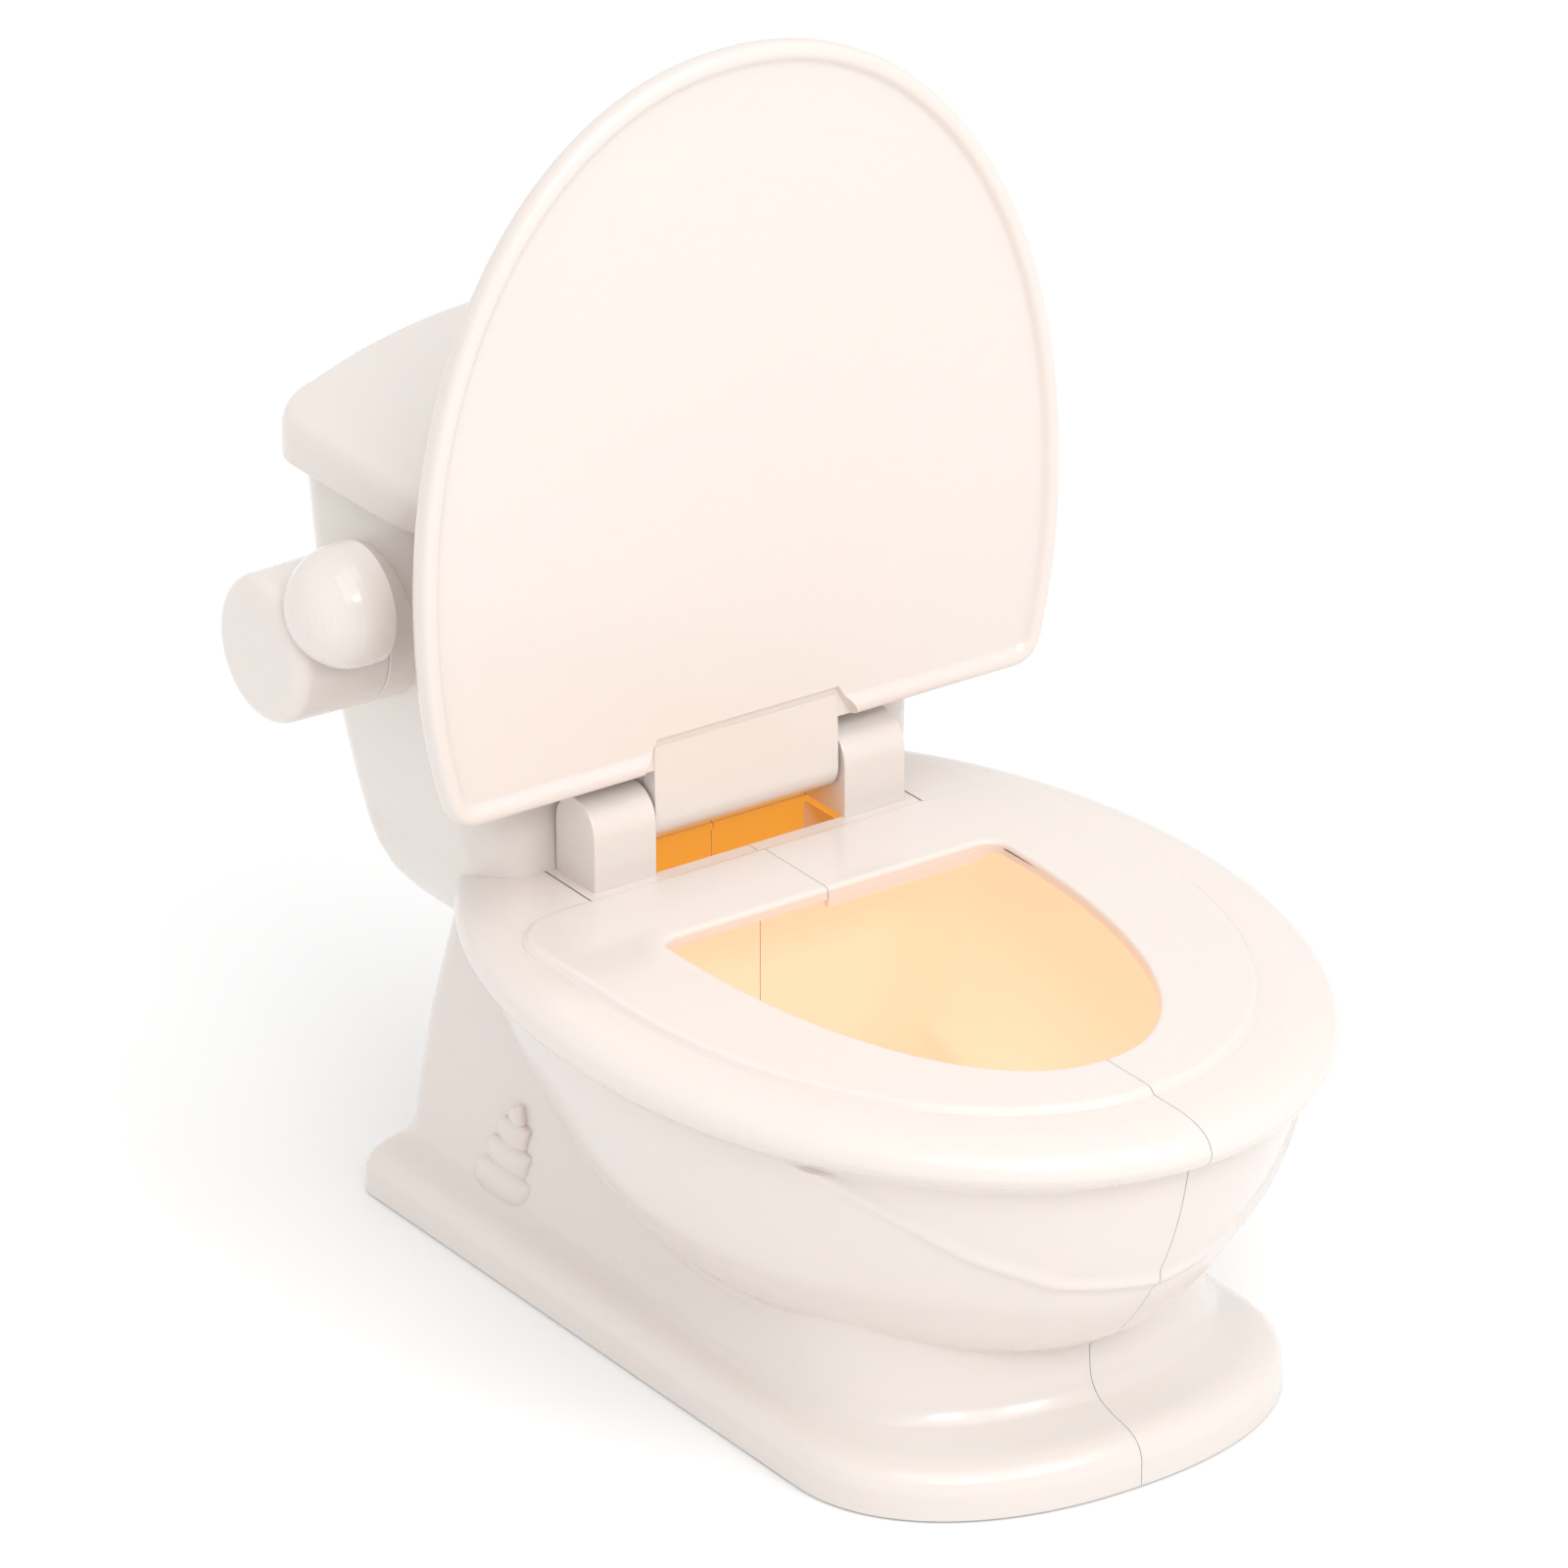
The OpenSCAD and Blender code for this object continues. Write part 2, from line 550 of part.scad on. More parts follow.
// ---- tank cover ----
cover_top = cover_z0 + cover_skirt;
function cover_half(d) = tank_outline(cover_hw - d, cover_y0 + d, tank_bow, 39 - min(d, 30), cover_y1 - d,
    tank_bow - 2, 24 - min(d, 18));
function whole(half) = concat(half, [for (i = [len(half) - 1 : -1 : 0]) [-half[i][0], half[i][1]]]);
function cover_rise(x) = cover_crown * (1 - pow(x / cover_hw, 2));
function cover_loop(d, z, crowned) = [for (p = whole(cover_half(d)))
    [p[0], p[1], z + (crowned ? cover_rise(p[0]) : 0)]];
function cover_shrunk(s, half, down) = let (c = (cover_y0 + cover_y1) / 2)
    [for (p = whole(half)) [p[0] * s, c + (p[1] - c) * s, cover_top - down + cover_rise(p[0] * s)]];

module tank_cover() {
    skirt_in = whole(tank_clear(1 - 9 / tank_h, 1, wall + loose_gap));
    hollow = tank_clear(1 - 9 / tank_h, 1, wall + loose_gap + 2.2);
    color(ivory) difference() {
        union() {
            loft([cover_loop(1.2, cover_z0, false), cover_loop(0, cover_z0 + 1.5, false),
                cover_loop(0, cover_top - 6, false), cover_loop(0.6, cover_top - 3, false),
                cover_loop(2.2, cover_top - 0.9, true), cover_loop(5, cover_top, true),
                for (s = [0.75, 0.5, 0.25, 0.02]) cover_shrunk(s, cover_half(5), 0)]);
            translate([0, 0, cover_z0 - 8]) linear_extrude(9) polygon(skirt_in);
        }
        loft([[for (p = whole(hollow)) [p[0], p[1], cover_z0 - 9]],
            for (s = [1, 0.75, 0.5, 0.25, 0.02]) cover_shrunk(s, hollow, 4)]);
    }
}

// ---- pot ----
module potty_pot() {
    foot_r = pot_r - 17;
    color(ivory) translate([0, pot_y, pot_z]) rotate_extrude() polygon([
        [0, 6], [foot_r - 6, 6], [foot_r - 4, 0], [foot_r, 0], [pot_r - 6, pot_h - 3], [pot_r, pot_h - 3],
        [pot_r, pot_h], [pot_r - 8.4, pot_h], [foot_r - 3, 11], [foot_r - 8, 8.6], [0, 8.6]]);
}

// ---- flush lever ----
module lever_bush() {
    color(steel) difference() {
        union() {
            rod(shaft_r + bush_t, -collar_x + 0.5, -boss_x, lever_y, lever_z);
            rod(shaft_r + 6, -boss_x, -boss_x + bush_t, lever_y, lever_z);
        }
        rod(shaft_r + fit_gap, -cut, 0, lever_y, lever_z);
    }
}

module lever_shaft() {
    color(steel) difference() {
        rod(shaft_r, -hub_x - 22, -crank_x + crank_t + 0.3, lever_y, lever_z);
        rod(screw_d / 2 + fit_gap, -crank_x - 12, 0, lever_y, lever_z);
    }
}

module grip_shape(grow) {
    r = grip_r + grow;
    translate([-grip_x, lever_y + grip_off * grip_dir[0], lever_z + grip_off * grip_dir[1]])
        rotate([0, -90, 0]) rotate_extrude() polygon(concat([[0, -grow], [r - 0.8, -grow], [r, 0.8 - grow]],
            [for (a = [0 : 7.5 : 82.5]) [r * cos(a), grip_l - grip_r + r * sin(a)]],
            [[0, grip_l + grow]]));
}

module lever_hub() {
    soft = 7;
    color(ivory) difference() {
        translate([-hub_x, lever_y, lever_z]) rotate([0, -90, 0]) rotate_extrude() polygon(concat(
            [[0, 0], [hub_r, 0], [hub_r - 0.8, hub_l - soft]],
            [for (a = [10 : 10 : 80]) [hub_r - 0.8 - soft * (1 - cos(a)), hub_l - soft + soft * sin(a)]],
            [[hub_r - 0.8 - soft, hub_l], [0, hub_l + 0.8]]));
        grip_shape(fit_gap);
        rod(shaft_r + 0.02, -hub_x - 22.1, 0, lever_y, lever_z);
    }
}

module lever_grip() {
    color(ivory) grip_shape(0);
}

// Arm on the inner end of the shaft, with an eye for the flush link
module lever_crank() {
    color(ivory) difference() {
        union() {
            rod(shaft_r + 5, -crank_x, -crank_x + crank_t, lever_y, lever_z);
            along_x(-crank_x, -crank_x + crank_t)
                translate([lever_y, lever_z - 5]) square([crank_l, 10]);
            rod(5, -crank_x, -crank_x + crank_t, lever_y + crank_l, lever_z);
        }
        rod(shaft_r + 0.02, -cut, 0, lever_y, lever_z);
        rod(1.5, -cut, 0, lever_y + crank_l, lever_z);
    }
}

// Torsion spring round the shaft, between the bush and the crank
module lever_spring() {
    turns = 4;
    steps = 16;
    x0 = -boss_x + bush_t + 0.3 + spring_wire / 2;
    pitch = (-crank_x - 0.3 - spring_wire / 2 - x0) / turns;
    color(steel) loft([for (i = [0 : turns * steps]) let (a = 360 * i / steps)
        [for (b = [0 : 60 : 300]) let (r = spring_r + spring_wire / 2 * cos(b))
            [x0 + pitch * i / steps - spring_wire / 2 * sin(b), lever_y + r * cos(a), lever_z + r * sin(a)]]]);
}

module lever_washer() {
    x0 = -crank_x + crank_t + 0.3;
    color(steel) difference() {
        rod(shaft_r + 2.5, x0, x0 + 1.2, lever_y, lever_z);
        rod(screw_d / 2 + 0.2, -cut, 0, lever_y, lever_z);
    }
}

module lever_screw() {
    x0 = -crank_x + crank_t + 1.5;
    color(steel) {
        rod(head_r, x0, x0 + head_h, lever_y, lever_z);
        rod(screw_d / 2, -crank_x - 11.5, x0 + 0.2, lever_y, lever_z);
    }
}

left_shell();
right_shell();
tank_floor();
base_plate();
rubber_feet();
base_screws();
shell_screws();
shell_dowels();
floor_screws();
seat_lid();
lid_panel();
hinge_pin();
tank_cover();
potty_pot();
lever_bush();
lever_shaft();
lever_hub();
lever_grip();
lever_crank();
lever_spring();
lever_washer();
lever_screw();
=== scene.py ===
"""Looks for the potty training chair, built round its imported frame.

Shapes are worked out in millimetres, in the frame's own axes, and become metres when a mesh is made.
The two moulded halves, the lid and the tank cover are dense meshes that stand for their CAD nodes.
The lever, pot, pins, screws, feet and base plate are the CAD nodes themselves with new materials.
"""

import math

import bpy
import numpy as np
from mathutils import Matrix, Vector


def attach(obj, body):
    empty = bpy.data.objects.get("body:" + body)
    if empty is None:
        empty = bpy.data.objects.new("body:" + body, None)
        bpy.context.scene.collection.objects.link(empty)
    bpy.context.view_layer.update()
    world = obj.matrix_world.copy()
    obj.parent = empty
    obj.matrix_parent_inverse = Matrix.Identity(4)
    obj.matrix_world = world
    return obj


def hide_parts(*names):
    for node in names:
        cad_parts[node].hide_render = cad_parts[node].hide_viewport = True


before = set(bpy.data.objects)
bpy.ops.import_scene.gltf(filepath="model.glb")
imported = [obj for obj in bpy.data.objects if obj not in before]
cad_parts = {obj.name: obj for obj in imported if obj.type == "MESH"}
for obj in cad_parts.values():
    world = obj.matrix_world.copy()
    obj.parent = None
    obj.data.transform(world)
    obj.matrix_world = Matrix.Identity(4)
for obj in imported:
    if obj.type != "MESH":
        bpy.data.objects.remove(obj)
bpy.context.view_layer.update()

# ---------------------------------------------------------------- sizes, in millimetres

MM = 0.001  # metres in a millimetre
WALL = 2.6
INNER = 5.2  # the inside of the bowl is drawn this far in, so that its corners can be soft
SEAM = 0.17  # half of the gap between the two moulded halves
SEAT_Z = 172.0
DECK_Z = 169.5
PLATE_Z = 166.5
GROUND_GAP = 1.0
RIM_Y = -26.8
RIM_W = 302.0
RIM_L = 409.0
OPEN_HW = 80.0
OPEN_FRONT = -163.8
OPEN_REAR = 16.2
OPEN_CORNER = 9.0
WEB_Y = 62.2
HINGE_Y = 81.8
HINGE_Z = 191.5
POST_X = (45.0, 74.0)
POST_R = 13.6
SLOT_Y = (70.2, 94.5)
SLOT_X = 45.0
TANK_Y0 = 96.0
TANK_H = 141.0
TANK_HW = 114.5
TANK_REAR = 217.0
COVER_Z0 = 311.5
COVER_Y0 = 114.0
COVER_Y1 = 226.0
COVER_HW = 120.0
COVER_SKIRT = 20.0
COVER_CROWN = 14.0
LEVER_Y = 162.0
LEVER_Z = 262.5
COLLAR_X = 126.5
COLLAR_R = 31.3
LID_HW = 150.7
LID_REACH = 310.0
LID_EDGE = 21.0
LID_FACE = -15.4
LID_T = 12.0
LID_LEAN = 1.5
BARREL_R = 11.3
TONGUE_HW = 43.6
LID_CORNER = 11.0
LID_POWER = 2.1
NOSE_POWER = 2.2  # exponent of the superelliptic noses of the pedestal and the neck
OPEN_POWER = 2.15
BLEND = 3  # width of the blend where the pedestal meets the bowl, outside and inside
BLEND_INSIDE = 14
RIDGE_H = 2.3  # height and width of the raised line round the bowl
RIDGE_W = 2.7
SWIRL_Y = 112.0
SWIRL_TOP = 68

# Sections of the body from the floor up: height, pedestal half-width, front, rear, nose length, rear corner
# radius, then the bowl's half-width and its front and rear semi-lengths.
BODY = np.array([
    [0, 108, -191, 190.5, 77, 10, 20, 20, 20],
    [11, 108, -191, 190.5, 77, 10, 20, 20, 20],
    [15.5, 106.8, -189.8, 189.5, 76, 10, 20, 20, 20],
    [19, 104, -187, 188, 75, 11, 20, 20, 20],
    [21.5, 99.5, -182, 186.5, 74, 12, 20, 20, 20],
    [23.5, 95.5, -172, 185, 72, 13, 20, 20, 20],
    [27, 92.5, -163, 184, 70, 14, 30, 40, 30],
    [34, 90.5, -158, 183, 68, 15, 60, 90, 40],
    [42, 89.5, -157, 183, 68, 15, 78, 124, 52],
    [50, 88.5, -157, 182.6, 68, 15, 89, 133, 78],
    [58, 87.5, -157, 182, 68, 15, 98, 145, 96],
    [66, 86.5, -157, 181, 68, 15, 105, 153, 118],
    [76, 85.5, -157, 180, 68, 15, 112, 161, 143],
    [88, 84, -157, 178, 68, 15, 120, 169, 149],
    [100, 82.5, -157, 175.5, 68, 15, 126, 175, 155],
    [116, 80.5, -157, 172, 68, 15, 132, 182, 172],
    [132, 79, -157, 168, 68, 15, 137, 187, 186],
    [148, 78, -157, 165, 68, 15, 140.5, 190.5, 190],
])
# Profile of the rim: height, inset from its widest line
RIM = np.array([[150, 11], [152, 6], [155, 2], [159, 0], [163, 1.4], [166, 4.6], [167.8, 9], [169, 15],
                [169.5, 20]])
# Half-width, front, rear, nose length, exponent and rear corner of the pedestal's neck behind the rim, of
# the opening and of the raised seat
NECK = (78, -100, 182, 60, NOSE_POWER, 15)
OPENING = (OPEN_HW, OPEN_FRONT, OPEN_REAR, OPEN_REAR - OPEN_FRONT - OPEN_CORNER, OPEN_POWER, OPEN_CORNER)
PLATEAU = (123, RIM_Y - 167, WEB_Y - 1, 175, 2.05, 26)


# ---------------------------------------------------------------- curves

def smooth_rows(xs, ys, x):
    """Values at x of smooth curves through the rows (xs, ys) that don't overshoot them."""
    h = np.diff(xs)[:, None]
    slope = np.diff(ys, axis=0) / h
    m = np.zeros_like(ys)
    both = slope[:-1] * slope[1:] > 0
    m[1:-1][both] = (2 * slope[:-1] * slope[1:] / (slope[:-1] + slope[1:] + 1e-12))[both]
    m[0], m[-1] = slope[0], slope[-1]
    i = np.clip(np.searchsorted(xs, x, side="right") - 1, 0, len(xs) - 2)
    t = ((x - xs[i]) / h[i, 0])[:, None]
    return (
        (1 + 2 * t) * (1 - t) ** 2 * ys[i]
        + t * (1 - t) ** 2 * h[i] * m[i]
        + t * t * (3 - 2 * t) * ys[i + 1]
        + t * t * (t - 1) * h[i] * m[i + 1]
    )


def body_at(z):
    """The body's section values at height z."""
    return smooth_rows(BODY[:, 0], BODY[:, 1:], np.array([float(z)]))[0]


def dee(y, s, d=0.0):
    """Half-width of a D with a superelliptic nose, moved inwards by d.

    s = half-width, front, rear, nose length, exponent, corner.
    """
    hw, front, rear = s[0] - d, s[1] + d, s[2] - d
    nose, corner = s[1] + s[3], max(s[5] - d, 1)
    t = np.clip((nose - y) / (nose - front), 0, 1)
    w = hw * np.maximum(0, 1 - t ** s[4]) ** (1 / s[4])
    back = np.clip(y - (rear - corner), 0, corner)
    w = np.where(y > rear - corner, hw - corner + np.sqrt(corner**2 - back**2), w)
    return np.where((y < front) | (y > rear + 1e-6), 0, w)


def egg(y, s, d=0.0):
    """Half-width of an egg: s = half-width, centre, front and rear semi-lengths."""
    t = (y - s[1]) / (np.where(y < s[1], s[2], s[3]) - d)
    return (s[0] - d) * np.sqrt(np.maximum(0, 1 - t * t))


def half_outline(width, front, rear, n=150, rear_points=8):
    """Points from the front of the seam round one side to its rear, for a half-width function of y."""
    y = front + (rear - front) * (1 - np.cos(np.pi * np.arange(n + 1) / n)) / 2
    x = np.maximum(SEAM + 0.02 * np.arange(n + 1) / n, width(y))
    x[0] = SEAM
    last = np.linspace(x[-1], SEAM, rear_points + 1)[1:]
    return np.column_stack([np.append(x, last), np.append(y, np.full(rear_points, rear))])


def ribbon(outer, inner, z_outer, z_inner=None):
    """A closed loop out along one side of a wall and back along the other."""
    z_inner = z_outer if z_inner is None else z_inner
    a = np.column_stack([outer, np.full(len(outer), z_outer)])
    b = np.column_stack([inner, np.full(len(inner), z_inner)])
    return np.vstack([a, b[::-1]])


def arc(cx, cy, r, a0, a1, n):
    """Points on a circle from angle a0 to a1, in degrees."""
    a = np.radians(np.linspace(a0, a1, n + 1))
    return np.column_stack([cx + r * np.cos(a), cy + r * np.sin(a)])


def tank_outline(hw, front, bow_f, r_f, rear, bow_r, r_r):
    """Half outline of the tank or its cover, from the front of the seam to its rear."""
    def drop(bow, r):
        return bow * (1 - ((hw - r) / hw) ** 2)

    x1 = np.linspace(0, hw - r_f, 25)[:-1]
    x2 = np.linspace(hw - r_r, 0, 25)[1:]
    p = np.vstack([
        np.column_stack([x1, front - bow_f * (1 - (x1 / hw) ** 2)]),
        arc(hw - r_f, front + r_f - drop(bow_f, r_f), r_f, -90, 0, 16),
        arc(hw - r_r, rear - r_r + drop(bow_r, r_r), r_r, 0, 90, 16),
        np.column_stack([x2, rear + bow_r * (1 - (x2 / hw) ** 2)]),
    ])
    p[:, 0] = np.maximum(p[:, 0], SEAM)
    return p


def tank_values(u):
    """Tank section at a share u of its height.

    Half-width, front, bow, corner, rear, rear bow, rear corner.
    """
    e = 1 - (1 - u) ** 2.4
    return np.array([TANK_HW - 12.5 * (1 - e), TANK_Y0 + 23 * u, 0.3 + 22 * u, 19 + 17 * u,
                     TANK_REAR - 16 * (1 - u), 6 + 12 * u, 19 + 5 * u])


# Foot of the tank, where it curves in to meet the pedestal: height below the deck, side inset, rear inset
TANK_FOOT = np.array([[-40.5, 24, 31], [-35, 15, 25], [-29, 8.5, 18], [-22, 4, 11], [-13, 1.6, 5],
                      [-4, 0.4, 1.2], [0, 0, 0]])


def mirrored(points):
    """A whole outline from its half."""
    other = points[::-1] * [-1, 1]
    return np.vstack([points, other])


# ---------------------------------------------------------------- meshes

def make(name, verts, faces):
    """A mesh object from points in millimetres."""
    mesh = bpy.data.meshes.new(name)
    mesh.from_pydata((np.asarray(verts) * MM).tolist(), [], faces)
    mesh.validate()
    mesh.update()
    ob = bpy.data.objects.new(name, mesh)
    bpy.context.collection.objects.link(ob)
    return ob


def loft(name, loops, ribbon_caps=False):
    """A closed solid through equal loops. A strip (ribbon) or a fan from the middle closes each end."""
    n, m = len(loops[0]), len(loops)
    verts = np.vstack(loops)
    k, i = np.meshgrid(np.arange(m - 1), np.arange(n), indexing="ij")
    j = (i + 1) % n
    a, b, c, d = k * n + i, k * n + j, (k + 1) * n + j, (k + 1) * n + i
    faces = np.stack([a, b, c, d], axis=-1).reshape(-1, 4).tolist()
    top = (m - 1) * n
    if ribbon_caps:
        for s in range(n // 2 - 1):
            lo = [s, n - 1 - s, n - 2 - s, s + 1]
            faces.append(lo)
            faces.append([top + v for v in lo[::-1]])
    else:
        verts = np.vstack([verts, loops[0].mean(axis=0), loops[-1].mean(axis=0)])
        for s in range(n):
            faces.append([(s + 1) % n, s, m * n])
            faces.append([top + s, top + (s + 1) % n, m * n + 1])
    return make(name, verts, faces)


def lathe(name, profile, steps=96):
    """A solid of revolution about X from (x, r) pairs whose ends lie on the axis."""
    a = np.linspace(0, 2 * np.pi, steps, endpoint=False)
    loops = [np.column_stack([np.full(steps, x), r * np.cos(a), r * np.sin(a)]) for x, r in profile]
    return loft(name, loops)


def soft_extrusion(name, profile, x0, x1, edge=0.9):
    """A profile in (y, z), run along X, with its end edges rounded. The profile is convex."""
    centre = profile.mean(axis=0)
    size = np.abs(profile - centre).max()
    loops = []
    for t in np.linspace(0, 90, 6):
        s = 1 - edge / size * (1 - math.sin(math.radians(t)))
        loops.append((x0 + edge * (1 - math.cos(math.radians(t))), s))
    loops = loops + [(x0 + x1 - x, s) for x, s in loops[::-1]]
    return loft(name, [np.column_stack([np.full(len(profile), x), centre + (profile - centre) * s])
                       for x, s in loops])


def combine(target, others, operation):
    """Joins solids into the target, or cuts them from it."""
    for o in others:
        mod = target.modifiers.new("combine", "BOOLEAN")
        mod.object = o
        mod.operation = operation
        mod.solver = "MANIFOLD"
    graph = bpy.context.evaluated_depsgraph_get()
    mesh = bpy.data.meshes.new_from_object(target.evaluated_get(graph))
    target.modifiers.clear()
    target.data = mesh
    for o in others:
        bpy.data.objects.remove(o)
    return target


def box(name, lo, hi):
    """A plain cutter."""
    (x0, y0, z0), (x1, y1, z1) = lo, hi
    low = np.array([[x0, y0], [x1, y0], [x1, y1], [x0, y1]])
    return loft(name, [np.column_stack([low, np.full(4, z)]) for z in (z0, z1)])


def shade(ob, angle=32):
    """Smooth shading with edges sharper than the angle kept."""
    ob.data.shade_smooth()
    ob.data.set_sharp_from_angle(angle=math.radians(angle))
    even = ob.modifiers.new("even_normals", "WEIGHTED_NORMAL")
    even.keep_sharp = True


def face_data(ob):
    """Centres (mm) and normals of the faces."""
    mesh = ob.data
    c = np.empty(len(mesh.polygons) * 3)
    n = np.empty(len(mesh.polygons) * 3)
    mesh.polygons.foreach_get("center", c)
    mesh.polygons.foreach_get("normal", n)
    return c.reshape(-1, 3) * 1000, n.reshape(-1, 3)


# ---------------------------------------------------------------- materials

def plastic(name, colour, deep, rough=0.24, glow=None, sss=0.22, coat=0.5):
    """Moulded plastic: faint cloudy colour, a fine skin on the gloss, and light that soaks in a little."""
    mat = bpy.data.materials.new(name)
    mat.use_nodes = True
    nodes, links = mat.node_tree.nodes, mat.node_tree.links
    shader = nodes["Principled BSDF"]
    coords = nodes.new("ShaderNodeTexCoord")
    cloud = nodes.new("ShaderNodeTexNoise")
    cloud.inputs["Scale"].default_value = 9
    cloud.inputs["Detail"].default_value = 3
    mix = nodes.new("ShaderNodeMix")
    mix.data_type = "RGBA"
    mix.inputs["A"].default_value = (*colour, 1)
    mix.inputs["B"].default_value = (*deep, 1)
    skin = nodes.new("ShaderNodeTexNoise")
    skin.inputs["Scale"].default_value = 160
    skin.inputs["Detail"].default_value = 2
    span = nodes.new("ShaderNodeMapRange")
    span.inputs["To Min"].default_value = rough - 0.03
    span.inputs["To Max"].default_value = rough + 0.05
    bump = nodes.new("ShaderNodeBump")
    bump.inputs["Strength"].default_value = 0.03
    bump.inputs["Distance"].default_value = 0.0004
    links.new(coords.outputs["Object"], cloud.inputs["Vector"])
    links.new(coords.outputs["Object"], skin.inputs["Vector"])
    links.new(cloud.outputs["Fac"], mix.inputs["Factor"])
    links.new(mix.outputs["Result"], shader.inputs["Base Color"])
    links.new(skin.outputs["Fac"], span.inputs["Value"])
    links.new(span.outputs["Result"], shader.inputs["Roughness"])
    links.new(skin.outputs["Fac"], bump.inputs["Height"])
    links.new(bump.outputs["Normal"], shader.inputs["Normal"])
    shader.inputs["IOR"].default_value = 1.46
    shader.inputs["Coat Weight"].default_value = coat
    shader.inputs["Coat Roughness"].default_value = 0.07
    shader.inputs["Subsurface Weight"].default_value = sss
    shader.inputs["Subsurface Radius"].default_value = (1.0, 0.55, 0.3)
    shader.inputs["Subsurface Scale"].default_value = 0.006
    # painted glow: emission stands in for light that comes through the plastic, though the part is no lamp
    if glow:
        shader.inputs["Emission Color"].default_value = (*glow[0], 1)
        shader.inputs["Emission Strength"].default_value = glow[1]
    return mat


def steel(name):
    """Drawn steel, with the plastic's fine speckle in its roughness."""
    mat = plastic(name, (0.55, 0.55, 0.56), (0.48, 0.48, 0.5), rough=0.32, sss=0, coat=0)
    shader = mat.node_tree.nodes["Principled BSDF"]
    shader.inputs["Metallic"].default_value = 1
    return mat


ivory = plastic("ivory_plastic", (0.735, 0.675, 0.635), (0.75, 0.69, 0.65))
# painted glow: the inside faces take a warmer, darker colour with emission, standing in for light that
# comes through the translucent shell
painted_warm_glow = plastic("ivory_inside_painted_glow", (0.66, 0.49, 0.36), (0.69, 0.51, 0.38), rough=0.35,
               glow=((1.0, 0.72, 0.51), 0.5), coat=0.1)
# painted glow: a dark amber base with strong emission, standing in for light shining through the plastic
# behind the bowl and at the slot
painted_amber_glow = plastic("ivory_backlit", (0.28, 0.13, 0.02), (0.31, 0.14, 0.02), rough=0.5,
                glow=((1.0, 0.43, 0.055), 0.6), coat=0)
# the pot's warm plastic, with a painted glow from emission standing in for light that comes through the
# shell
pot_painted_glow = plastic("pot_plastic", (0.78, 0.62, 0.45), (0.80, 0.64, 0.47), rough=0.3,
                  glow=((1.0, 0.74, 0.52), 0.25), coat=0.1)
white = plastic("white_plastic", (0.74, 0.70, 0.65), (0.76, 0.72, 0.67), rough=0.4)
metal = steel("steel")
rubber = plastic("grey_rubber", (0.2, 0.19, 0.18), (0.24, 0.23, 0.22), rough=0.7, sss=0, coat=0)


def dress(ob, body, slot, *nodes, mats=(ivory,)):
    """Gives a piece its materials and body, and hides the CAD nodes it stands for. The slot is not used."""
    ob.data.materials.clear()
    for mat in mats:
        ob.data.materials.append(mat)
    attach(ob, body)
    if nodes:
        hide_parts(*nodes)
    return ob


# ---------------------------------------------------------------- body shell

def ridge_height(x):
    """Height of the raised line round the front of the bowl, at a distance x from the seam."""
    return np.interp(x, [0, 42, 73, 101, 122, 135], [93, 100, 115.5, 136, 152, 166])


def body_width(z, d=0.0):
    """Half-width function of y at height z. The pedestal's side laps over the bowl with a small lip."""
    v = body_at(z)
    ds = (v[0], v[1], v[2], v[3], NOSE_POWER, v[4])
    es = (v[5], RIM_Y, v[6], v[7])

    def width(y):
        a, b = dee(y, ds, d), egg(y, es, d)
        top = np.maximum(a, b)
        soft = BLEND if d == 0 else BLEND_INSIDE
        near = np.where((a > 0) & (b > 0), np.maximum(0, soft - np.abs(a - b)) ** 2 / (4 * soft), 0)
        if d == 0:
            lead = a - b
            lip = 1.5 * np.exp(-((np.where(lead > 0, lead / 4.5, lead / 0.9)) ** 2))
            fade = np.clip((y + 125) / 70, 0, 1)
            fade = fade * np.clip((150 - z) / 20, 0, 1) * np.clip((z - 30) / 14, 0, 1)
            near = near * (1 - fade) + lip * fade * ((a > 0) & (b > 0))
        return top + near

    return width, min(ds[1], RIM_Y - es[2]) + d, max(ds[2], RIM_Y + es[3]) - d


def rim_width(inset, d=0.0):
    """Half-width function of y of the rim, with the pedestal's neck behind it."""
    es = (RIM_W / 2 - inset, RIM_Y, RIM_L / 2 - inset, RIM_L / 2 - inset)

    def width(y):
        a, b = dee(y, NECK, d), egg(y, es, d)
        soft = 4
        near = np.where((a > 0) & (b > 0), np.maximum(0, soft - np.abs(a - b)) ** 2 / (4 * soft), 0)
        return np.maximum(a, b) + near

    return width, es[1] - es[2] + d, NECK[2] - d


def opening(d):
    """Half outline of the hole in the seat, moved inwards by d."""
    return half_outline(lambda y: dee(y, OPENING, d), OPEN_FRONT + d, OPEN_REAR - d)


def plateau(d):
    """Half outline of the raised seat, moved inwards by d."""
    return half_outline(lambda y: dee(y, PLATEAU, d), PLATEAU[1] + d, PLATEAU[2] - d)


def add_ridge(outer, z):
    """The bowl's outline at height z with the raised line pushed outwards, fading towards the rear."""
    x, y = outer[:, 0], outer[:, 1]
    bump = RIDGE_H * np.exp(-(((z - ridge_height(x)) / RIDGE_W) ** 2))
    bump = bump * (y < -40) * np.clip(-(y + 40) / 30, 0, 1)
    out = outer - np.array([0, RIM_Y])
    out /= np.linalg.norm(out, axis=1)[:, None]
    outer = outer + out * bump[:, None]
    outer[:, 0] = np.maximum(outer[:, 0], SEAM)
    outer[0, 0] = SEAM
    return outer


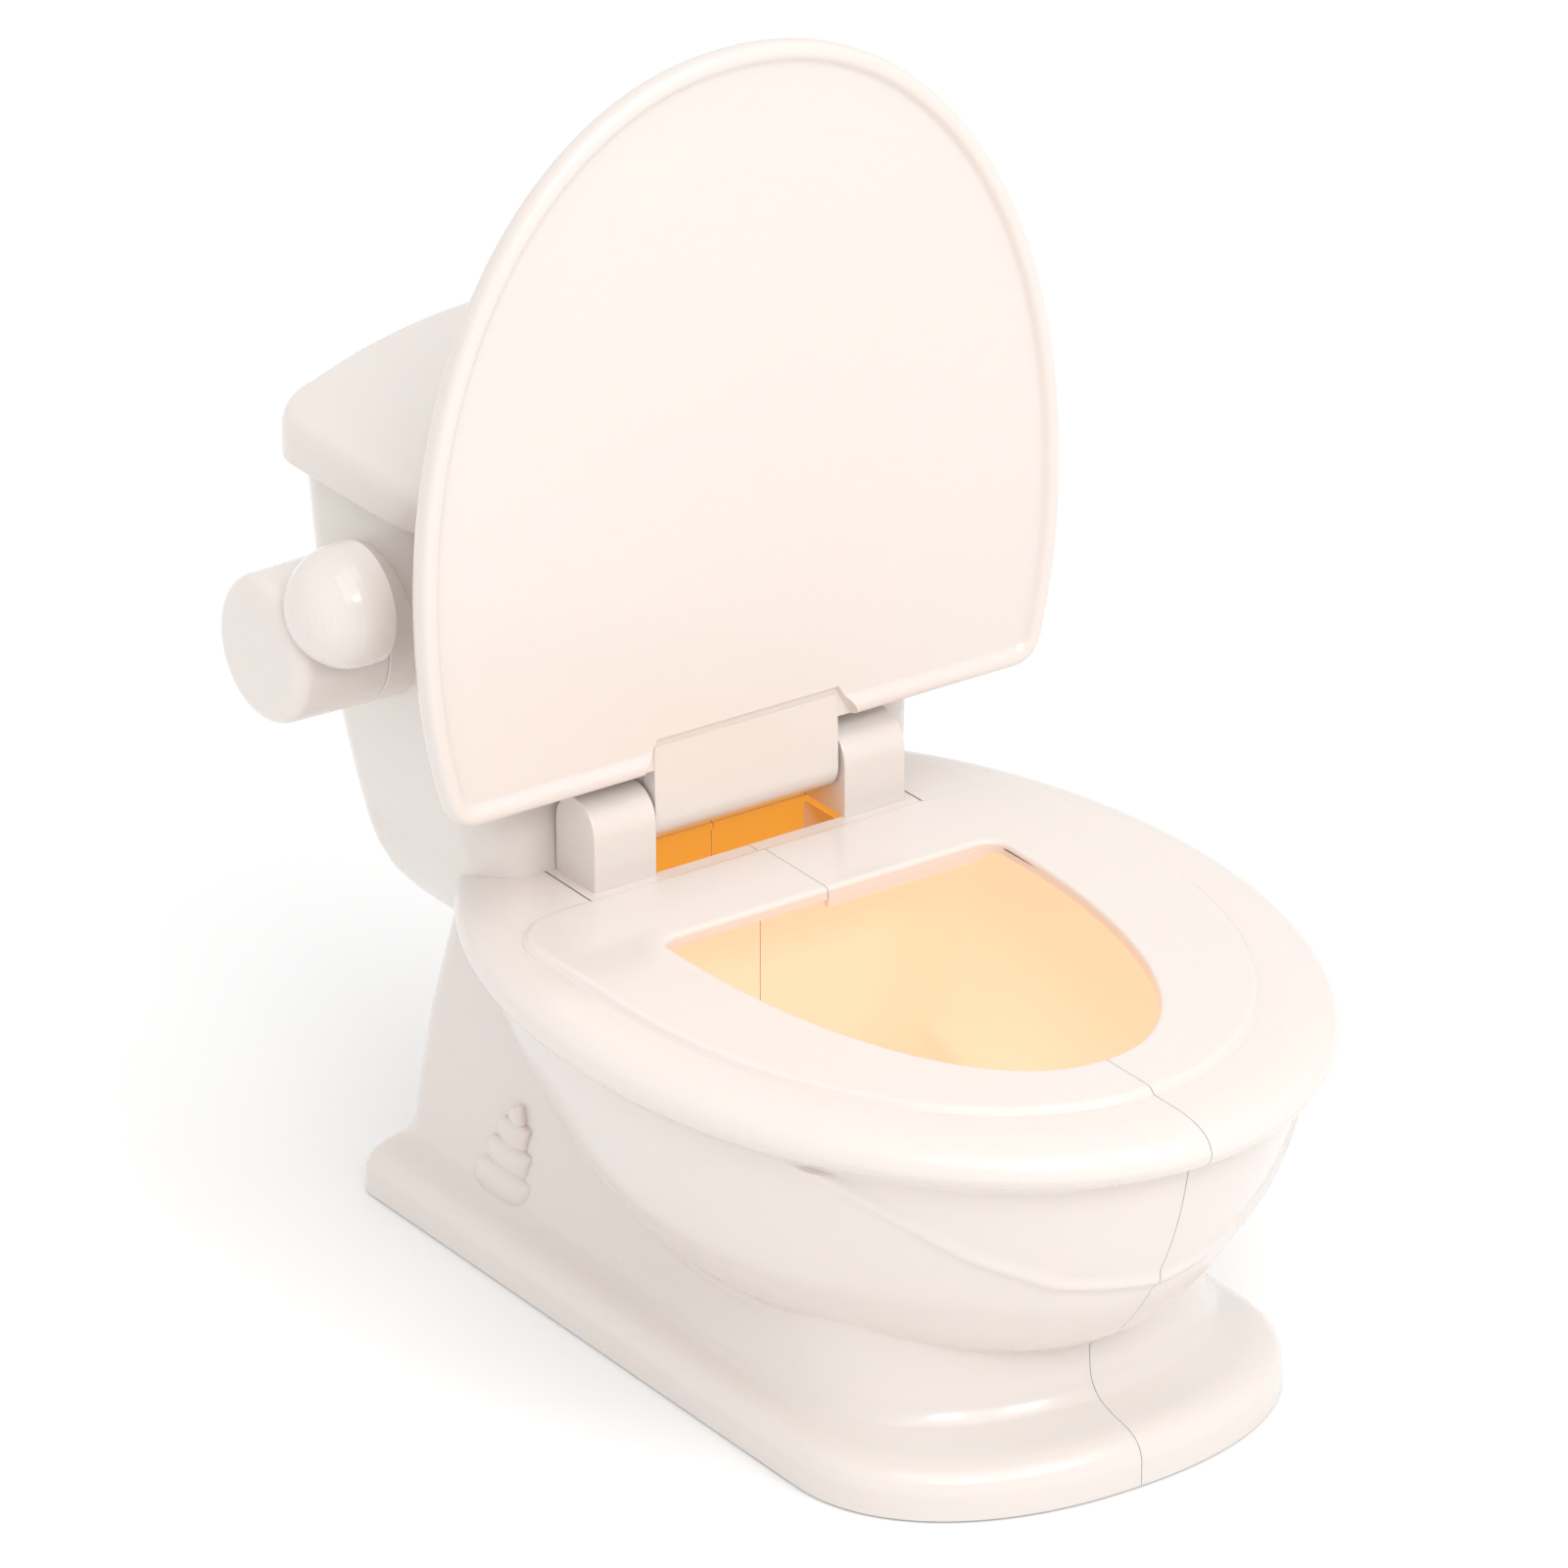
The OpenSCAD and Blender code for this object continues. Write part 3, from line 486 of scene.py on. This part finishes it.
def body_loops():
    """Pedestal, bowl and rim of one half, from the floor up to the deck."""
    loops = []
    heights = np.concatenate([
        np.linspace(GROUND_GAP, 11, 5), np.linspace(12, 28, 33), np.linspace(29, 147.5, 96)])
    for z in heights:
        outer = half_outline(*body_width(z))
        if 70 < z < 147:
            outer = add_ridge(outer, z)
        loops.append(ribbon(outer, half_outline(*body_width(z, INNER)), z))
    inner = half_outline(*rim_width(14 - WALL, WALL))
    turn = np.linspace(0, len(RIM) - 1, 44)
    rim = smooth_rows(np.arange(len(RIM), dtype=float), RIM, turn)
    for z, step in rim:
        loops.append(ribbon(half_outline(*rim_width(step)), inner if z < PLATE_Z else opening(-0.05), z))
    loops.append(ribbon(half_outline(*rim_width(22)), opening(-0.05), DECK_Z))
    return loops


def plateau_loops():
    """The raised seat on the deck, with a soft edge outside and round the opening."""
    rows = ((167.5, -1.6, 0), (169.55, -1.6, 0), (169.9, -0.8, 0), (170.6, -0.1, 0), (171.3, 0.5, -0.4),
            (171.75, 1.2, -1.0), (171.95, 2.1, -1.8), (SEAT_Z, 3.2, -2.9), (SEAT_Z, 4.6, -4.3))
    return [ribbon(plateau(d), opening(lip), z) for z, d, lip in rows]


def tank_loops():
    """Walls of the tank's half, from where its foot meets the pedestal to its top edge."""
    loops = []
    for z in np.linspace(TANK_FOOT[0, 0], 0, 28)[:-1]:
        side, back = smooth_rows(TANK_FOOT[:, 0], TANK_FOOT[:, 1:], np.array([z]))[0]
        v = tank_values(0)
        a = tank_outline(v[0] - side, v[1], 0.3, v[3], v[4] - back, v[5] * (1 - back / 35), v[6])
        b = tank_outline(v[0] - side - WALL, v[1] + WALL, 0.3, v[3] - WALL, v[4] - back - WALL,
                         v[5] * (1 - back / 35), v[6] - WALL)
        loops.append(ribbon(a, b, DECK_Z + z))
    for u in np.linspace(0, 1, 40):
        v = tank_values(u)
        a = tank_outline(*v)
        b = tank_outline(v[0] - WALL, v[1] + WALL, v[2], v[3] - WALL, v[4] - WALL, v[5], v[6] - WALL)
        loops.append(ribbon(a, b, DECK_Z + u * TANK_H))
    return loops


def web_loops():
    """Rear wall of the bowl, just inside the body's walls."""
    loops = []
    for z in np.linspace(30, PLATE_Z + 1, 40):
        width = body_width(min(z, 147))[0](np.array([WEB_Y + WALL]))[0]
        x = min(width, 121) - WALL / 2
        near, far = WEB_Y, WEB_Y + WALL
        loops.append(np.array([[SEAM, near, z], [x, near, z], [x, far, z], [SEAM, far, z]]))
    return loops


def post_profile():
    """A hinge post from the side, with a round top."""
    top = arc(HINGE_Y, HINGE_Z, POST_R, 180, 0, 32)
    return np.vstack([[[HINGE_Y - POST_R, PLATE_Z + 0.5]], top, [[HINGE_Y + POST_R, PLATE_Z + 0.5]]])[::-1]


def flip(ob):
    """Mirrors a mesh in the plane of the seam."""
    for v in ob.data.vertices:
        v.co.x = -v.co.x
    ob.data.flip_normals()
    return ob


def half_shell(name, left):
    """One moulded half. Both are made on the +X side, and the left one is mirrored at the end."""
    shell = loft(name, body_loops(), ribbon_caps=True)
    parts = [
        loft("plateau", plateau_loops(), ribbon_caps=True),
        loft("tank", tank_loops(), ribbon_caps=True),
        loft("web", web_loops()),
        soft_extrusion("post", post_profile(), *POST_X),
    ]
    if left:
        collar = [(-TANK_HW + 4, 0.01), (-TANK_HW + 4, COLLAR_R)]
        for t in np.linspace(0, 90, 6):
            s = math.radians(t)
            collar.append((-COLLAR_X + 1 - math.sin(s), COLLAR_R - 1 + math.cos(s)))
        collar.append((-COLLAR_X, 0.01))
        boss = lathe("collar", [(-x, r) for x, r in collar])
        for v in boss.data.vertices:
            v.co.y += LEVER_Y * MM
            v.co.z += LEVER_Z * MM
        parts.append(boss)
    else:
        y, z = OPEN_REAR, PLATE_Z
        edge = np.array([[y - 0.2, z + 2], [y - 0.2, z - 2.6], [y + 0.4, z - 3.4], [y + 1.6, z - 3.6],
                         [y + 2.6, z - 3.2], [y + 3, z - 2.2], [y + 3, z + 2]])
        parts.append(soft_extrusion("flange", edge, SEAM, OPEN_HW - OPEN_CORNER + 3, edge=0.4))
    combine(shell, parts, "UNION")
    slot = box("slot", (-1, SLOT_Y[0], PLATE_Z - 6), (SLOT_X, SLOT_Y[1], PLATE_Z + 14))
    combine(shell, [slot], "DIFFERENCE")
    if left:
        flip(shell)
    return shell


IVORY, PAINTED_WARM_GLOW, PAINTED_AMBER_GLOW = range(3)  # places of the materials in the shells' own list: plain ivory, then the painted warm glow and the painted amber glow


def paint_shell(ob):
    """Inside faces take a painted warm glow, standing in for light that comes through the shell, and the
    space behind the bowl the backlit one, a painted amber glow.
    """
    c, n = face_data(ob)
    x, y, z = np.abs(c[:, 0]), c[:, 1], c[:, 2]
    rim_z, under_z = 164.2, 166.9  # the rim's inner wall ends, and the deck's underside lies just above it
    # inside the walls of the pedestal, the bowl and the rim, or on the deck's underside
    width = np.zeros(len(c))
    for z0 in np.arange(0, 150, 2.0):
        rows = (z >= z0) & (z < z0 + 2)
        if rows.any():
            w, front, rear = body_width(min(z0 + 1, 147))
            width[rows] = np.where((y[rows] > front) & (y[rows] < rear), w(y[rows]), 0)
    neck = (z >= 150) & (z < rim_z)
    width[neck] = rim_width(11)[0](y[neck])
    inside = (z < rim_z) & (x < width - np.where(z < 32, 12, 1.5))
    inside |= (z >= rim_z) & (z < under_z) & (n[:, 2] < -0.5) & (x < rim_width(12)[0](y))
    # and turned towards the middle of the bowl or of the space behind it, but not part of the seam
    centre = np.where(y < WEB_Y + WALL / 2, RIM_Y, 125.0)
    inward = -c[:, 0] * n[:, 0] + (centre - y) * n[:, 1]
    level = (np.abs(n[:, 2]) > 0.8) & (z > 60)
    inside &= (z > 30) & (y < body_at(60)[2] - 1.5) & ((inward > 0) | level)
    inside &= (x > 1.5) | (np.abs(n[:, 0]) < 0.8)
    # inside faces get the painted warm glow, and those behind the bowl the painted amber glow
    index = np.where(inside, PAINTED_WARM_GLOW, IVORY)
    index[inside & (y > WEB_Y + 1)] = PAINTED_AMBER_GLOW
    # the tank's front wall between the posts and the walls of the slot in the deck take the painted amber
    # glow as well
    between = x < SLOT_X + 0.5
    index[between & (np.abs(y - TANK_Y0) < 6) & (z < HINGE_Z - 4) & (n[:, 1] < -0.5)] = PAINTED_AMBER_GLOW
    index[between & (y > SLOT_Y[0] - 0.5) & (y < TANK_Y0) & (z > PLATE_Z - 7) & (z < DECK_Z - 1)] = PAINTED_AMBER_GLOW
    ob.data.polygons.foreach_set("material_index", index.astype(np.int32))
    ob.data.update()


for side in ("left", "right"):
    shell = half_shell(f"{side}_half_shell", side == "left")
    dress(shell, "chair", "ivory_plastic", f"{side}_shell", mats=(ivory, painted_warm_glow, painted_amber_glow))
    paint_shell(shell)
    shade(shell, 34)


# ---------------------------------------------------------------- swirl relief on the pedestal

def relief():
    """A small stacked swirl of four rounded tiers, flattened on the left wall of the pedestal."""
    n = 40
    a = np.linspace(-np.pi / 2, np.pi / 2, n)
    tiers = [(22, 37, 19.5), (37, 49, 14.5), (49, 59.5, 9.5), (59.5, SWIRL_TOP, 5)]  # from, to, half-width
    loops = []
    for low, high, half in tiers:
        for t in np.linspace(0.04, 0.96, 14):
            z = low + (high - low) * t
            swell = math.sin(math.pi * t) ** 0.45
            last = 1 - t**2 if high == SWIRL_TOP else 1
            y = SWIRL_Y - 0.25 * (z - 22) + 1.4 * math.sin(math.pi * t)
            wide = half * (0.80 + 0.20 * swell) * last + 0.3
            deep = (1.0 + 0.17 * half) * (0.35 + 0.65 * swell) * last + 0.15
            wall_x = 90.2 - 0.03 * (z - 22) + 5 * max(0, (25 - z) / 3) ** 2 / 3
            front = np.column_stack([np.full(n, 0.0), y + wide * np.sin(a), np.full(n, z)])
            front[:, 0] = -(wall_x - 1.5 + (deep + 1.5) * np.cos(a) ** 0.7)
            back = np.array([[-(wall_x - 4), y + wide * 0.9, z], [-(wall_x - 4), y - wide * 0.9, z]])
            loops.append(np.vstack([front, back])[::-1])
    return loft("pedestal_relief", loops)


swirl = relief()
dress(swirl, "chair", "ivory_plastic")
shade(swirl, 60)


# ---------------------------------------------------------------- lid

def lid_outline(n=120):
    """Whole outline of the closed lid, counter-clockwise from one end of its straight edge."""
    centre = HINGE_Y - RIM_Y
    b = LID_REACH - centre
    t = np.linspace(0, 1, n)
    y = LID_EDGE + (LID_REACH - LID_EDGE) * np.sin(t * np.pi / 2)
    x = LID_HW * np.maximum(0, 1 - (np.abs(y - centre) / b) ** LID_POWER) ** (1 / LID_POWER)
    side = np.column_stack([x, -y])
    corner = side[0].copy()
    far = np.linalg.norm(side - corner, axis=1) > LID_CORNER
    start, end = side[far][0], corner - [LID_CORNER, 0]
    u = np.linspace(0, 1, 12)[:, None]
    curve = (1 - u) ** 2 * end + 2 * u * (1 - u) * corner + u * u * start
    edge = np.column_stack([np.linspace(0, end[0], 14)[:-1], np.full(13, -LID_EDGE)])
    right = np.vstack([edge, curve, side[far][1:]])
    left = right[1:-1][::-1] * [-1, 1]
    return np.vstack([right, left])[::-1]


def inset(points, d):
    """Outline moved inwards by d."""
    ahead, behind = np.roll(points, -1, axis=0), np.roll(points, 1, axis=0)
    tangent = ahead - behind
    tangent /= np.linalg.norm(tangent, axis=1)[:, None]
    return points + np.column_stack([-tangent[:, 1], tangent[:, 0]]) * d


# Inset from the outline and depth below the lid's back: over the face, round the border, to the back
LID_SECTION = [
    (9.8, 9.35), (9.0, 9.5), (8.2, 9.8), (7.4, 10.5), (6.6, 11.2), (5.7, 11.75), (4.6, 12), (3.2, 12),
    (2.0, 11.7), (1.1, 11.0), (0.4, 9.9), (0.05, 8.4), (0, 6.5), (0.15, 4.8), (0.7, 3.2), (1.7, 1.9),
    (3.2, 0.9), (5.5, 0.25), (9, 0)]


def closed_lid():
    """The lid with its tongue, lying closed, with the hinge's axis on X."""
    line = lid_outline()
    back = LID_FACE + LID_T
    middle = np.array([0, -(LID_EDGE + LID_REACH) / 2])
    loops = []
    for shrink in (0.05, 0.35, 0.65, 0.88):
        loops.append(np.column_stack([middle + (line - middle) * shrink, np.full(len(line), back - 9.3)]))
    for d, depth in LID_SECTION:
        loops.append(np.column_stack([inset(line, d), np.full(len(line), back - depth)]))
    for shrink in (0.88, 0.65, 0.35, 0.05):
        loops.append(np.column_stack([middle + (line - middle) * shrink, np.full(len(line), back)]))
    lid = loft("lid_with_tongue", loops)
    # the notch round the tongue, wider towards the hinge
    y0, y1 = -LID_EDGE + 1, -LID_EDGE - 15.0
    foot = np.array([[-52.5, y0], [-44.5, y1], [44.5, y1], [52.5, y0]])
    floor = np.array([[-50.5, y0], [-42.5, y1 + 2], [42.5, y1 + 2], [50.5, y0]])
    notch = loft("notch", [np.column_stack([foot, np.full(4, LID_FACE - 1)]),
                           np.column_stack([floor, np.full(4, LID_FACE + 4.6)])])
    combine(lid, [notch], "DIFFERENCE")
    barrel = arc(0, 0, BARREL_R, -90, 82, 40)
    tongue = np.vstack([barrel, [[-14, 3.4], [-LID_EDGE - 1, back - 0.8], [-LID_EDGE - 10, back - 0.8],
                                 [-LID_EDGE - 10, -BARREL_R]]])
    combine(lid, [soft_extrusion("tongue", tongue, -TONGUE_HW, TONGUE_HW, edge=1.0)], "UNION")
    return lid


lid = closed_lid()
swing = math.radians(-90 - LID_LEAN)
for v in lid.data.vertices:
    y, z = v.co.y, v.co.z
    v.co.y = y * math.cos(swing) - z * math.sin(swing) + HINGE_Y * MM
    v.co.z = y * math.sin(swing) + z * math.cos(swing) + HINGE_Z * MM
dress(lid, "lid", "ivory_plastic", "seat_lid", "lid_panel")
shade(lid, 32)


# ---------------------------------------------------------------- tank cover

def cover():
    """The arched cover: skirt, soft upper edge and crowned top."""
    top = COVER_Z0 + COVER_SKIRT

    def outline(d):
        return mirrored(tank_outline(COVER_HW - d, COVER_Y0 + d, 22, 39 - min(d, 30), COVER_Y1 - d, 20,
                                     24 - min(d, 18)))

    def rise(x):
        return COVER_CROWN * (1 - (x / COVER_HW) ** 2)

    # Inset, height, share of the arch. The height is above the skirt's foot, or above its top where the
    # arch has a share.
    section = [(2.0, 0, 0), (0.8, 0.15, 0), (0.2, 0.7, 0), (0, 1.6, 0)]
    section += [(0, z, 0) for z in np.linspace(3, COVER_SKIRT - 8, 5)]
    section += [(0.05, -6.5, 0.25), (0.3, -5, 0.5), (0.9, -3.4, 0.8), (1.8, -2.1, 0.95), (3.0, -1.1, 1),
                (4.6, -0.4, 1), (7, 0, 1), (12, 0.05, 1)]
    loops = []
    for d, z, share in section:
        p = outline(d)
        level = (top if share > 0 else COVER_Z0) + z
        loops.append(np.column_stack([p, level + share * rise(p[:, 0])]))
    edge = outline(12)
    middle = np.array([0, (COVER_Y0 + COVER_Y1) / 2])
    for s in np.linspace(0.92, 0.02, 14):
        p = middle + (edge - middle) * s
        loops.append(np.column_stack([p, top + 0.05 + rise(p[:, 0])]))
    return loft("domed_tank_cover", loops)


lidded = cover()
v = tank_values(1)  # the cover's inner skirt follows the tank's top edge
skirt_line = mirrored(tank_outline(v[0] - 3, v[1] + 3, v[2], v[3] - 3, v[4] - 3, v[5], v[6] - 3))
skirt = loft("skirt", [np.column_stack([skirt_line, np.full(len(skirt_line), z)])
                       for z in (COVER_Z0 - 8, COVER_Z0 + 2)])
combine(lidded, [skirt], "UNION")
dress(lidded, "cover", "ivory_plastic", "tank_cover")
shade(lidded, 34)


# ---------------------------------------------------------------- carried-over CAD nodes

NODE_MATERIALS = {
    "tank_floor": ivory, "base_plate": ivory, "rubber_feet": rubber, "base_screws": metal,
    "shell_screws": metal, "shell_dowels": ivory, "floor_screws": metal, "hinge_pin": metal,
    "potty_pot": pot_painted_glow, "lever_bush": white, "lever_shaft": white, "lever_hub": ivory,
    "lever_grip": ivory, "lever_crank": white, "lever_spring": metal, "lever_washer": metal,
    "lever_screw": metal}
for node, mat in NODE_MATERIALS.items():
    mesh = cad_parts[node].data
    mesh.materials.clear()
    mesh.materials.append(mat)


# ---------------------------------------------------------------- floor, light, camera

FLOOR = 30000  # half of the floor's side
CAMERA = (-2.2736, -3.1890, 2.0700)  # metres
CAMERA_AIM = (0.0053, 0.0535, 0.2008)
WINDOW_AIM = (0, -0.15, 0.05)
WINDOW_SIZE = (0.5, 0.45)


def floor():
    """A white floor that fades into the background."""
    corners = [[-FLOOR, -FLOOR, 0], [FLOOR, -FLOOR, 0], [FLOOR, FLOOR, 0], [-FLOOR, FLOOR, 0]]
    ob = make("floor", corners, [[0, 1, 2, 3]])
    mat = bpy.data.materials.new("floor_white")
    mat.use_nodes = True
    shader = mat.node_tree.nodes["Principled BSDF"]
    shader.inputs["Base Color"].default_value = (0.82, 0.82, 0.82, 1)
    shader.inputs["Emission Color"].default_value = (1, 1, 1, 1)
    shader.inputs["Emission Strength"].default_value = 0.1
    shader.inputs["Roughness"].default_value = 0.9
    shader.inputs["Specular IOR Level"].default_value = 0.1
    ob.data.materials.append(mat)


def panel_light(name, place, aim, size, power):
    """A soft rectangular studio light."""
    data = bpy.data.lights.new(name, "AREA")
    data.shape = "RECTANGLE"
    data.size, data.size_y = size
    data.energy = power
    ob = bpy.data.objects.new(name, data)
    bpy.context.collection.objects.link(ob)
    ob.location = place
    ob.rotation_euler = (Vector(aim) - Vector(place)).to_track_quat("-Z", "Y").to_euler()


floor()
scene = bpy.context.scene
world = bpy.data.worlds.new("studio")
world.use_nodes = True
world.node_tree.nodes["Background"].inputs["Color"].default_value = (1, 1, 1, 1)
world.node_tree.nodes["Background"].inputs["Strength"].default_value = 0.9
scene.world = world
scene.view_settings.view_transform = "Standard"
sun = bpy.data.objects.new("key", bpy.data.lights.new("key", "SUN"))
sun.data.energy = 0.95
sun.data.angle = math.radians(60)
sun.data.color = (1.0, 0.995, 0.985)
bpy.context.collection.objects.link(sun)
sun.rotation_euler = Vector((0.06, 0.42, -0.9)).to_track_quat("-Z", "Y").to_euler()
panel_light("window_a", (-0.62, -1.45, 1.45), WINDOW_AIM, WINDOW_SIZE, 5)
panel_light("window_b", (0.42, -1.6, 1.45), WINDOW_AIM, WINDOW_SIZE, 5)

camera = bpy.data.objects.new("camera", bpy.data.cameras.new("camera"))
bpy.context.collection.objects.link(camera)
camera.location = CAMERA
camera.rotation_euler = (Vector(CAMERA_AIM) - camera.location).to_track_quat("-Z", "Y").to_euler()
camera.data.sensor_width = 36
camera.data.lens = 258.05
camera.data.clip_end = 100
scene.camera = camera
